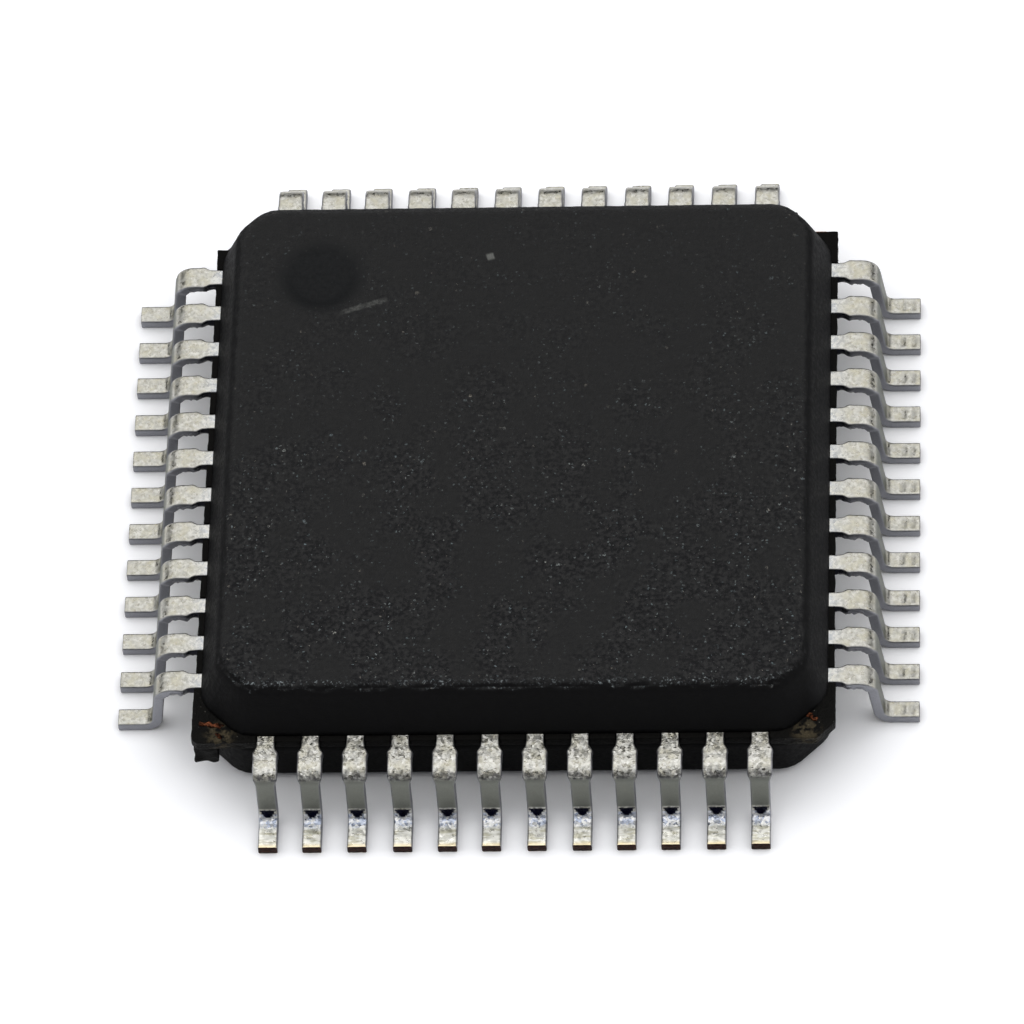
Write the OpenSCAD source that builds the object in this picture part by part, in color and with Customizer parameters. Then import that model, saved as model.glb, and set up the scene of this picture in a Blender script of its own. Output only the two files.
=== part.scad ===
// Quad flat pack chip: a square moulded body with a row of gull-wing leads on each side,
// and the die, paddle, adhesive and bond wires that the moulding seals in.
// Millimetres, +Z up. The origin is under the middle of the body, on the plane that the feet stand on.
// The round dimple marks lead 1, and the leads count anticlockwise from it, seen from above.

/* [Moulded body] */
// Side of the body's upper half, measured at the parting plane
body_w = 7; // [6.8:0.1:8]
// Height of the body, underside to top
body_h = 1.4; // [1.2:0.05:1.6]
// Gap between the body's underside and the board
standoff = 0.1; // [0.05:0.01:0.15]
// Slope of the upper half's sides, degrees from upright
upper_draft = 20; // [12:1:22]
// Slope of the lower half's sides, degrees from upright
lower_draft = 3; // [2:1:10]
// How much further out the lower half starts than the upper one, each side
lower_step = 0.06; // [0.02:0.01:0.07]
// Leg of the flat across each upright corner of the upper half
upper_corner = 0.44; // [0.42:0.02:0.6]
// Leg of the flat across each upright corner of the lower half
lower_corner = 0.46; // [0.36:0.02:0.56]
// Radius that blends each corner flat into the sides
corner_blend = 0.34; // [0.1:0.02:0.38]
// Radius of the edge round the top
top_edge_r = 0.18; // [0.1:0.01:0.22]
// Radius of the edge round the underside
bottom_edge_r = 0.05; // [0.03:0.01:0.1]

/* [Ledge at the parting plane] */
// How far the ledge of resin between the leads stands out from the upper half
ledge_out = 0.07; // [0.05:0.01:0.1]
// Leg of the trimmed corner of the ledge, front left
trim_front_left = 0.05; // [0.02:0.01:0.12]
// Leg of the trimmed corner of the ledge, front right
trim_front_right = 0.2; // [0.1:0.02:0.24]
// Length of ledge missing along the back side, at both of its corners
notch_back = 0.46; // [0.4:0.02:0.5]
// Length of ledge missing along the right side, at the back corner
notch_right = 0.28; // [0.2:0.02:0.4]
// Length of ledge missing along the left side, at the back corner
notch_left = 0.44; // [0.3:0.02:0.5]
// Height of the gate stub, which hangs below the ledge at the front left corner
gate_h = 0.3; // [0.1:0.02:0.36]
// Width of the gate stub, both ways from the corner
gate_w = 0.28; // [0.2:0.02:0.36]

/* [Lead 1 mark] */
// Diameter of the dimple
dimple_d = 1; // [0.6:0.05:1.2]
// Depth of the dimple
dimple_depth = 0.06; // [0.04:0.01:0.12]
// Distance from the body's two sides to the middle of the dimple
dimple_inset = 1.2; // [1:0.05:1.4]

/* [Leads] */
// Number of leads on each side
leads_per_side = 12; // [8:1:12]
// Distance from one lead to the next
pitch = 0.5; // [0.46:0.01:0.52]
// Thickness of the lead frame
frame_t = 0.127; // [0.1:0.005:0.15]
// Distance from the body's side to the tip of a toe
lead_reach = 1; // [0.95:0.01:1.2]
// Width of a lead where it leaves the body
exit_w = 0.204; // [0.17:0.005:0.24]
// Width across the two points that the cut dam bar leaves on a lead
stub_w = 0.294; // [0.28:0.005:0.34]
// Distance from the body's side to those points
stub_out = 0.22; // [0.18:0.01:0.25]
// Length over which the points fall back to the shoulder
stub_fall = 0.04; // [0.02:0.01:0.06]
// Width of the shoulder of a lead
shoulder_w = 0.28; // [0.25:0.005:0.28]
// Width of the riser and foot of a lead
foot_w = 0.22; // [0.18:0.005:0.24]
// How far below the shoulder's underside the neck starts
neck_below = 0.016; // [0.01:0.002:0.04]
// Height over which the shoulder narrows to the riser
neck_h = 0.07; // [0.04:0.01:0.1]
// Straight length from the body's side to the upper bend
shoulder_len = 0.33; // [0.31:0.01:0.35]
// Inside radius of both bends
bend_r = 0.1; // [0.06:0.01:0.12]
// How far the riser leans out, degrees from upright
riser_lean = 7; // [2:1:12]

/* [Fingers inside the body] */
// Straight length of a finger behind the body's side
finger_straight = 0.35; // [0.25:0.05:0.45]
// Distance from one finger tip to the next
tip_pitch = 0.36; // [0.32:0.01:0.38]
// Width of a finger at its tip
tip_w = 0.18; // [0.12:0.01:0.2]
// Gap between the edge of the paddle and the finger tips, seen from above
tip_gap = 0.25; // [0.2:0.01:0.35]

/* [Paddle and die] */
// Side of the square paddle that carries the die
paddle_w = 4.4; // [3.8:0.1:4.6]
// How far the paddle is set down below the leads
paddle_drop = 0.2; // [0.15:0.01:0.25]
// Width of the tie bars that hold the paddle by its corners
tie_w = 0.2; // [0.12:0.01:0.22]
// Side of the square film of die adhesive
attach_w = 3.2; // [3.1:0.05:3.6]
// Thickness of the adhesive
attach_t = 0.025; // [0.015:0.005:0.04]
// Side of the square die
die_w = 3; // [2.6:0.1:3.1]
// Thickness of the die
die_t = 0.28; // [0.2:0.01:0.32]

/* [Bond wires] */
// Diameter of the wire
wire_d = 0.025; // [0.018:0.001:0.03]
// Diameter of the ball at the die end
ball_d = 0.06; // [0.045:0.005:0.08]
// Height of the ball
ball_h = 0.015; // [0.01:0.001:0.02]
// Distance from the die's edge to the row of balls
pad_inset = 0.12; // [0.08:0.01:0.2]
// Distance from one ball to the next
pad_pitch = 0.22; // [0.18:0.01:0.23]
// Height of the loop above the die, at the wire's centre
loop_h = 0.15; // [0.12:0.01:0.2]
// Radius of the bend at the top of the loop
loop_r = 0.05; // [0.03:0.01:0.07]
// Distance from a finger's tip to the point where its wire lands
stitch_inset = 0.15; // [0.12:0.01:0.2]

/* [Hidden] */
$fn = 32;
round_steps = 3;      // flats in each 45 degree blend of the body's corners
edge_steps = 4;       // flats round the top and bottom edges
bend_steps = 7;       // flats round each bend of a lead
lead_count = 4 * leads_per_side;
row_mid = (leads_per_side - 1) / 2;

// Levels
frame_low = standoff + (body_h - frame_t) / 2;
frame_top = frame_low + frame_t;
body_top = standoff + body_h;
paddle_low = frame_low - paddle_drop;
paddle_top = paddle_low + frame_t;
die_low = paddle_top + attach_t;
die_top = die_low + die_t;
ball_top = die_top + ball_h;
loop_z = die_top + loop_h;

// Distances from the middle of the body
upper_half = body_w / 2;
lower_half = upper_half + lower_step;
ledge_half = upper_half + ledge_out;
toe = upper_half + lead_reach;
bend_start = upper_half + shoulder_len;
knee = upper_half - finger_straight;
tip = paddle_w / 2 + tip_gap;
pad_row = die_w / 2 - pad_inset;
stitch_row = tip + stitch_inset;
dimple_at = upper_half - dimple_inset;
paddle_corner = paddle_w / sqrt(2);
wire_run_on = 4 * wire_d;   // length of wire past its landing point, cut off at the finger's face

// The two bends of a lead, seen from its side, and the straight riser between them
upper_bend = [bend_start, frame_low - bend_r];
mid_r = bend_r + frame_t / 2;
riser = (upper_bend[1] - bend_r - frame_t + 2 * mid_r * sin(riser_lean)) / cos(riser_lean);
lower_bend = [
    bend_start + 2 * mid_r * cos(riser_lean) + riser * sin(riser_lean),
    frame_t + bend_r
];

SIDES = ["left", "front", "right", "back"];
function two_digits(n) = str(n < 10 ? "0" : "", n);
LEADS = [for (n = [1:lead_count]) str("lead_", two_digits(n))];
WIRES = [for (side = SIDES) str("bond_wires_", side)];

// Side 0 is the left one. Each side is the front view turned, so that its row runs anticlockwise.
function side_turn(side) = 90 * (side - 1);
// Place of the n-th lead of a row, in pitches from the middle of the row
function row_place(n) = n - row_mid;

function arc(centre, r, from, to, steps) = [
    for (i = [0:steps])
        let (a = from + (to - from) * i / steps)
        [centre[0] + r * cos(a), centre[1] + r * sin(a)]
];

// --- Moulded body ---

// One corner of a ring: a flat across the corner, blended into both sides. The ring lies inset by d.
function ring_corner(half, leg, d) =
    let (
        h = half - d,
        l = leg - d * (2 - sqrt(2)),
        tangent = corner_blend * tan(22.5),
        a = [h - corner_blend, h - l - tangent],
        b = [h - l - tangent, h - corner_blend]
    )
    concat(
        arc(a, corner_blend, 0, 45, round_steps),
        arc(b, corner_blend, 45, 90, round_steps)
    );

function ring(half, leg, d, z) = [
    for (q = [0:3], p = ring_corner(half, leg, d))
        [p[0] * cos(90 * q) - p[1] * sin(90 * q), p[0] * sin(90 * q) + p[1] * cos(90 * q), z]
];

// Levels of one half, going away from the parting plane: how far in, and how far from the plane.
// The sides slope by the draft until an arc of radius r turns them into the flat face.
function half_levels(h, draft, r) =
    let (
        rise = h - r * (1 - sin(draft)),
        run = rise * tan(draft)
    )
    concat(
        [[0, 0]],
        [
            for (i = [0:edge_steps])
                let (a = draft + (90 - draft) * i / edge_steps)
                [run + r * (cos(draft) - cos(a)), h - r * (1 - sin(a))]
        ]
    );

module half_body(half, leg, levels, plane, up) {
    rings = [for (l = levels) ring(half, leg, l[0], plane + up * l[1])];
    sides = len(rings[0]);
    last = len(rings) - 1;
    faces = concat(
        [[for (i = [0:sides - 1]) i]],
        [
            for (k = [0:last - 1], i = [0:sides - 1])
                let (j = (i + 1) % sides, here = k * sides, next = here + sides)
                [here + i, next + i, next + j, here + j]
        ],
        [[for (i = [sides - 1:-1:0]) last * sides + i]]
    );
    polyhedron(
        points = [for (r = rings, p = r) p],
        faces = up > 0 ? faces : [for (f = faces) [for (i = [len(f) - 1:-1:0]) f[i]]]
    );
}

// The layer as thick as the lead frame: the ledge, its trimmed corners, and the body's own corners
module ledge_outline() {
    core = [for (p = ring(upper_half, upper_corner, 0, 0)) [p[0], p[1]]];
    polygon(core);
    difference() {
        square(2 * ledge_half, center = true);
        translate([-ledge_half, -ledge_half])
            rotate(45) square(trim_front_left * sqrt(2), center = true);
        translate([ledge_half, -ledge_half])
            rotate(45) square(trim_front_right * sqrt(2), center = true);
        translate([ledge_half, ledge_half])
            square([2 * notch_back, 2 * notch_right], center = true);
        translate([-ledge_half, ledge_half])
            square([2 * notch_back, 2 * notch_left], center = true);
    }
}

module gate_stub() {
    translate([-ledge_half, -ledge_half, frame_low - gate_h])
        cube([gate_w, gate_w, gate_h]);
}

module moulding() {
    half_body(
        lower_half, lower_corner,
        half_levels(frame_low - standoff, lower_draft, bottom_edge_r), frame_low, -1
    );
    gate_stub();
    translate([0, 0, frame_low]) linear_extrude(frame_t) ledge_outline();
    half_body(
        upper_half, upper_corner,
        half_levels(body_top - frame_top, upper_draft, top_edge_r), frame_top, 1
    );
}

module mould_body() {
    color([0.17, 0.17, 0.17]) difference() {
        moulding();
        translate([-dimple_at, dimple_at, body_top - dimple_depth])
            cylinder(d = dimple_d, h = 2 * dimple_depth);
        for (side = [0:3], n = [0:leads_per_side - 1])
            rotate(side_turn(side)) lead_strip(row_place(n));
        paddle_and_ties();
        adhesive_film();
        die_block();
        for (side = [0:3]) wire_row(side);
    }
}

// --- Leads ---

// Outline of a lead in its front row, seen from above. Its length runs along -Y.
module lead_plan(place) {
    half_widths = [
        [tip, tip_w / 2, tip_pitch],
        [knee, exit_w / 2, pitch],
        [ledge_half, exit_w / 2, pitch],
        [upper_half + stub_out, stub_w / 2, pitch],
        [upper_half + stub_out + stub_fall, shoulder_w / 2, pitch],
        [toe, shoulder_w / 2, pitch]
    ];
    last = len(half_widths) - 1;
    polygon(concat(
        [for (w = half_widths) [place * w[2] - w[1], -w[0]]],
        [for (i = [last:-1:0]) let (w = half_widths[i]) [place * w[2] + w[1], -w[0]]]
    ));
}

// The flat blank of a lead, as it lies in the frame
module lead_strip(place) {
    translate([0, 0, frame_low]) linear_extrude(frame_t) lead_plan(place);
}

// Gull-wing outline of a lead, seen from its side
module lead_side() {
    outer_r = bend_r + frame_t;
    polygon(concat(
        [[tip, frame_top]],
        arc(upper_bend, outer_r, 90, riser_lean, bend_steps),
        arc(lower_bend, bend_r, 180 + riser_lean, 270, bend_steps),
        [[toe, frame_t], [toe, 0]],
        arc(lower_bend, outer_r, 270, 180 + riser_lean, bend_steps),
        arc(upper_bend, bend_r, riser_lean, 90, bend_steps),
        [[tip, frame_low]]
    ));
}

// Outline of a lead, seen from the front: full width above the neck, and the foot's width below it
module lead_front(place) {
    x = place * pitch;
    w = body_w;
    neck_top = frame_low - neck_below;
    polygon([
        [x - w, body_top], [x - w, neck_top], [x - shoulder_w / 2, neck_top],
        [x - foot_w / 2, neck_top - neck_h], [x - foot_w / 2, -frame_t],
        [x + foot_w / 2, -frame_t], [x + foot_w / 2, neck_top - neck_h],
        [x + shoulder_w / 2, neck_top], [x + w, neck_top], [x + w, body_top]
    ]);
}

// A bent lead of the front row
module lead_shape(place) {
    intersection() {
        rotate([90, 0, -90]) linear_extrude(2 * body_w, center = true) lead_side();
        linear_extrude(body_top) lead_plan(place);
        rotate([90, 0, 0]) linear_extrude(toe + pitch) lead_front(place);
    }
}

module lead(index) {
    side = floor(index / leads_per_side);
    color([0.72, 0.72, 0.7])
        rotate(side_turn(side)) lead_shape(row_place(index % leads_per_side));
}

// --- Paddle, die and wires ---

// A tie bar from the paddle's corner to the body's corner, seen from its side
module tie_side() {
    step = paddle_corner;
    end = ledge_half * sqrt(2);
    polygon([
        [paddle_w / 2, paddle_low], [step, paddle_low],
        [step + paddle_drop, frame_low], [end, frame_low],
        [end, frame_top], [step + paddle_drop, frame_top],
        [step, paddle_top], [paddle_w / 2, paddle_top]
    ]);
}

module paddle_and_ties() {
    translate([-paddle_w / 2, -paddle_w / 2, paddle_low])
        cube([paddle_w, paddle_w, frame_t]);
    intersection() {
        for (corner = [0:3])
            rotate([90, 0, 45 + 90 * corner]) linear_extrude(tie_w, center = true) tie_side();
        linear_extrude(body_top) ledge_outline();
    }
}

module die_paddle() {
    color([0.72, 0.45, 0.3]) paddle_and_ties();
}

module adhesive_film() {
    translate([-attach_w / 2, -attach_w / 2, paddle_top])
        cube([attach_w, attach_w, attach_t]);
}

module die_attach() {
    color([0.55, 0.55, 0.52]) adhesive_film();
}

module die_block() {
    translate([-die_w / 2, -die_w / 2, die_low]) cube([die_w, die_w, die_t]);
}

module silicon_die() {
    color([0.3, 0.32, 0.4]) die_block();
}

// A wire in its own upright plane: a ball on the die, a short rise, a bend, and a straight span
// that meets the finger at the given distance
module wire(distance) {
    bend_z = loop_z - loop_r;
    drop = bend_z - frame_top;
    reach = distance - loop_r;
    span = sqrt(reach * reach + drop * drop - loop_r * loop_r);
    slope = atan(drop / reach) + asin(loop_r / sqrt(reach * reach + drop * drop));
    translate([0, 0, die_top]) cylinder(d = ball_d, h = ball_h);
    translate([0, 0, ball_top]) cylinder(d = wire_d, h = bend_z - ball_top);
    translate([loop_r, 0, bend_z]) {
        rotate([90, 0, 0])
            rotate_extrude(angle = 90 + slope, start = 90 - slope)
                translate([loop_r, 0]) circle(d = wire_d);
        rotate([0, slope, 0]) translate([0, 0, loop_r])
            rotate([0, 90, 0]) cylinder(d = wire_d, h = span + wire_run_on);
    }
}

// The wires of one side. What would sink into the fingers is cut away at their upper face.
module wire_row(side) {
    stitch_share = stitch_inset / (knee - tip);
    stitch_pitch = tip_pitch + (pitch - tip_pitch) * stitch_share;
    under = 2 * wire_run_on;
    rotate(side_turn(side)) difference() {
        for (n = [0:leads_per_side - 1]) {
            place = row_place(n);
            across = place * (stitch_pitch - pad_pitch);
            along = stitch_row - pad_row;
            translate([place * pad_pitch, -pad_row, 0])
                rotate(atan2(-along, across)) wire(sqrt(across * across + along * along));
        }
        translate([-upper_half, -upper_half, frame_top - under]) cube([body_w, body_w, under]);
    }
}

module bond_wires(side) {
    color([0.85, 0.68, 0.3]) wire_row(side);
}

mould_body();
for (i = [0:lead_count - 1]) lead(i);
die_paddle();
die_attach();
silicon_die();
for (i = [0:3]) bond_wires(i);
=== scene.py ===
"""A quad flat pack chip in a plain studio: the moulded body, its ledge and corners, and the plated leads.

Pieces are shaped in millimetres and scaled to metres when they are finished. The chip stands with its feet
on z = 0. Lead 1 is at the back of the left row, and the leads count anticlockwise, seen from above.
"""

import math
import random

import bmesh
import bpy
from mathutils import Matrix, Vector, noise


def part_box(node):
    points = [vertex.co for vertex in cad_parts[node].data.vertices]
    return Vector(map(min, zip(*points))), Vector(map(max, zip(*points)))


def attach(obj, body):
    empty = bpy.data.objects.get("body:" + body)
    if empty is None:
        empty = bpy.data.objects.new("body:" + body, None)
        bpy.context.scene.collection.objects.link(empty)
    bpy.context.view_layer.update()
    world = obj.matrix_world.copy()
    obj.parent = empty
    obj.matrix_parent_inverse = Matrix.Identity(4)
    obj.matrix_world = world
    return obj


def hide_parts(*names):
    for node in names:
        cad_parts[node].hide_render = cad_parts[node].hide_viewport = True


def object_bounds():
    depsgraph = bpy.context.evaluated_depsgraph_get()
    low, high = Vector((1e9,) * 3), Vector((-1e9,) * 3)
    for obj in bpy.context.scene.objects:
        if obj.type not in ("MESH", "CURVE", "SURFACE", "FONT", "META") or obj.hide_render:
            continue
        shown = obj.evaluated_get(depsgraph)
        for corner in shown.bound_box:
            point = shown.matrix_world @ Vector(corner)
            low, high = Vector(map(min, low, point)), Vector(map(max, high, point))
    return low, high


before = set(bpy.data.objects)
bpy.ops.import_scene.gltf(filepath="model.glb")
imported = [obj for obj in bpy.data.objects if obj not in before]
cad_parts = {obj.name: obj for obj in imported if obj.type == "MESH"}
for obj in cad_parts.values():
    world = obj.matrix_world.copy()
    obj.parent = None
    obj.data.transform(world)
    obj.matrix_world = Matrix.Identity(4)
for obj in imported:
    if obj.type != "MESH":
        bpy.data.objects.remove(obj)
cad_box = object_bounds()

MM = 0.001

# --- Sizes, in millimetres ---

BODY_HALF = 3.5             # half the body's side where the two mould halves meet
STANDOFF = 0.1
FRAME_T = 0.127             # thickness of the lead frame
FRAME_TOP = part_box("lead_01")[1].z / MM
FRAME_LOW = FRAME_TOP - FRAME_T
BODY_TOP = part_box("mould_body")[1].z / MM
LEDGE_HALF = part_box("mould_body")[1].x / MM
TOE = cad_box[1].x / MM

UPPER_DRAFT = 20
UPPER_CORNER = 0.44
UPPER_EDGE_R = 0.18
LOWER_HALF = 3.56
LOWER_DRAFT = 3
LOWER_CORNER = 0.46
LOWER_EDGE_R = 0.05
CORNER_BLEND = 0.34
DIMPLE_AT = Vector((-2.3, 2.3))
DIMPLE_R = 0.5
DIMPLE_DEPTH = 0.05
DIMPLE_RIM = 0.22           # width of the soft rim

ROW = 12                    # leads on each side
PITCH = 0.5
TRIM_LEFT = 0.05            # what the corners of the ledge lost
TRIM_RIGHT = 0.2
NOTCH_BACK = 0.46
NOTCH_RIGHT = 0.28
NOTCH_LEFT = 0.44
EXIT_W = 0.204
STUB_W = 0.294
STUB_OUT = 0.22
STUB_FALL = 0.04
SHOULDER_W = 0.28
SHOULDER_LEN = 0.33
FOOT_W = 0.22
BEND_R = 0.1
LEAN = math.radians(7)
TIP = 2.45                  # from the middle of the body to the finger tips
TIP_PITCH = 0.36
TIP_W = 0.18
KNEE = 3.15                 # where the fingers turn straight
THIN_RESIN_AT = (3.26, -3.48, FRAME_TOP)  # where the corners' resin is thin, mirrored to both sides


# --- Meshes ---

def everything(bm):
    return bm.verts[:] + bm.edges[:] + bm.faces[:]


def box(bm, low, high):
    """Adds a box and returns its vertices."""
    low, high = Vector(low), Vector(high)
    verts = bmesh.ops.create_cube(bm, size=1)["verts"]
    bmesh.ops.scale(bm, verts=verts, vec=high - low)
    bmesh.ops.translate(bm, verts=verts, vec=(low + high) / 2)
    return verts


def edges_where(bm, test):
    return [e for e in bm.edges if test(e.verts[0].co, e.verts[1].co)]


def round_edges(bm, edges, width, segments=2):
    return bmesh.ops.bevel(
        bm, geom=edges, offset=width, offset_type="OFFSET", affect="EDGES",
        segments=segments, profile=0.5, material=-1, clamp_overlap=True,
    )


def slice_up(bm, axis, start, stop, step):
    """Cuts the mesh into slices across an axis."""
    count = max(1, round((stop - start) / step))
    cut_at(bm, everything(bm), axis, [start + (stop - start) * k / count for k in range(1, count)])


def cut_at(bm, geom, axis, places):
    """Makes the middle cut first, then shares the rest between its two sides."""
    if not places:
        return
    middle = len(places) // 2
    place = places[middle]
    normal = Vector((0, 0, 0))
    normal[axis] = 1
    cut = bmesh.ops.bisect_plane(bm, geom=geom, dist=1e-6, plane_co=normal * place, plane_no=normal)
    spans = [(g, span(g, axis)) for g in cut["geom"]]
    cut_at(bm, [g for g, (low, high) in spans if low < place - 1e-6], axis, places[:middle])
    cut_at(bm, [g for g, (low, high) in spans if high > place + 1e-6], axis, places[middle + 1:])


def span(g, axis):
    if isinstance(g, bmesh.types.BMVert):
        return g.co[axis], g.co[axis]
    reach = [v.co[axis] for v in g.verts]
    return min(reach), max(reach)


def ease(share):
    share = min(1, max(0, share))
    return share * share * (3 - 2 * share)


def clamp(value, limit):
    return min(limit, max(-limit, value))


def rough(point, size):
    """Signed noise, with bumps about as wide as size."""
    return noise.noise(point / size)


def finish_piece(name, bm, materials, nodes=(), smooth=True):
    """Turns a bmesh in millimetres into a piece in metres, and lets it stand for its CAD nodes."""
    bmesh.ops.scale(bm, verts=bm.verts, vec=(MM, MM, MM))
    mesh = bpy.data.meshes.new(name)
    bm.to_mesh(mesh)
    bm.free()
    for polygon in mesh.polygons:
        polygon.use_smooth = smooth
    for material in materials:
        mesh.materials.append(material)
    piece = bpy.data.objects.new(name, mesh)
    bpy.context.scene.collection.objects.link(piece)
    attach(piece, "root")
    if nodes:
        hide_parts(*nodes)
    return piece


# --- Materials ---

def linear(hex_colour):
    """An sRGB hex colour as linear light, with alpha."""
    parts = [int(hex_colour[i:i + 2], 16) / 255 for i in (1, 3, 5)]
    return tuple(p / 12.92 if p <= 0.04045 else ((p + 0.055) / 1.055) ** 2.4 for p in parts) + (1,)


def add(tree, kind, inputs=None, **settings):
    """Adds a node. Settings are its own properties, and inputs are values or the sockets that feed them."""
    node = tree.nodes.new("ShaderNode" + kind)
    for name, value in settings.items():
        setattr(node, name, value)
    for name, value in (inputs or {}).items():
        if isinstance(value, bpy.types.NodeSocket):
            tree.links.new(value, node.inputs[name])
        else:
            node.inputs[name].default_value = value
    return node


def new_material(name, base, roughness, metallic=0.0, specular=0.5):
    material = bpy.data.materials.new(name)
    material.use_nodes = True
    tree = material.node_tree
    shader = tree.nodes["Principled BSDF"]
    shader.inputs["Base Color"].default_value = linear(base)
    shader.inputs["Roughness"].default_value = roughness
    shader.inputs["Metallic"].default_value = metallic
    shader.inputs["Specular IOR Level"].default_value = specular
    coords = add(tree, "TexCoord").outputs["Object"]
    millimetres = add(tree, "Mapping", {"Vector": coords, "Scale": (1 / MM,) * 3}).outputs["Vector"]
    return material, tree, shader, millimetres


def grains(tree, millimetres, size, detail=2.0, roughness=0.5):
    """Noise between 0 and 1, with grains about as wide as size, in millimetres."""
    return add(tree, "TexNoise", {
        "Vector": millimetres, "Scale": 1 / size, "Detail": detail, "Roughness": roughness,
    }).outputs["Fac"]


def spread(tree, value, low, high, to_low=0.0, to_high=1.0, smooth=True):
    """Stretches a value from one range to another, and clamps it."""
    return add(tree, "MapRange", {
        0: value, 1: low, 2: high, 3: to_low, 4: to_high,
    }, interpolation_type="SMOOTHSTEP" if smooth else "LINEAR").outputs[0]


def mix(tree, factor, first, second, blend="MIX"):
    """Mixes two colours, each a hex colour or a socket."""
    colours = [linear(c) if isinstance(c, str) else c for c in (first, second)]
    return add(tree, "Mix", {0: factor, 6: colours[0], 7: colours[1]},
               data_type="RGBA", blend_type=blend).outputs[2]


def maths(tree, operation, first, second=0.0):
    return add(tree, "Math", {0: first, 1: second}, operation=operation).outputs[0]


def link(tree, socket, shader, name):
    tree.links.new(socket, shader.inputs[name])


def relief(tree, shader, height, depth):
    """Bumps of a given depth in millimetres."""
    bump = add(tree, "Bump", {"Height": height, "Strength": 1.0, "Distance": depth * MM})
    tree.links.new(bump.outputs["Normal"], shader.inputs["Normal"])


def facets(tree, shader, normal, cells, tilt):
    """Turns the normal a little for each cell, so that a crystal lights up or goes dark as a whole."""
    lean = add(tree, "VectorMath", {0: cells, 1: (0.5, 0.5, 0.5)}, operation="SUBTRACT").outputs[0]
    lean = add(tree, "VectorMath", {0: lean, "Scale": tilt}, operation="SCALE").outputs[0]
    turned = add(tree, "VectorMath", {0: normal, 1: lean}, operation="ADD").outputs[0]
    turned = add(tree, "VectorMath", {0: turned}, operation="NORMALIZE").outputs[0]
    tree.links.new(turned, shader.inputs["Normal"])


def near_line(tree, millimetres, start, stop, width):
    """1 on a line between two points of the top face, and 0 away from it."""
    along = Vector(stop) - Vector(start)
    turned = add(tree, "Mapping", {
        "Vector": millimetres, "Location": (*start, 0), "Rotation": (0, 0, math.atan2(along.y, along.x)),
    }, vector_type="TEXTURE").outputs["Vector"]
    place = add(tree, "SeparateXYZ", {0: turned})
    reach = add(tree, "Math", {0: place.outputs[0], 1: along.length / 2}, operation="SUBTRACT").outputs[0]
    inside = spread(tree, maths(tree, "ABSOLUTE", reach), along.length * 0.3, along.length * 0.5, 1.0, 0.0)
    return maths(tree, "MULTIPLY", inside, spread(
        tree, maths(tree, "ABSOLUTE", place.outputs[1]), width * 0.4, width, 1.0, 0.0))


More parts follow.
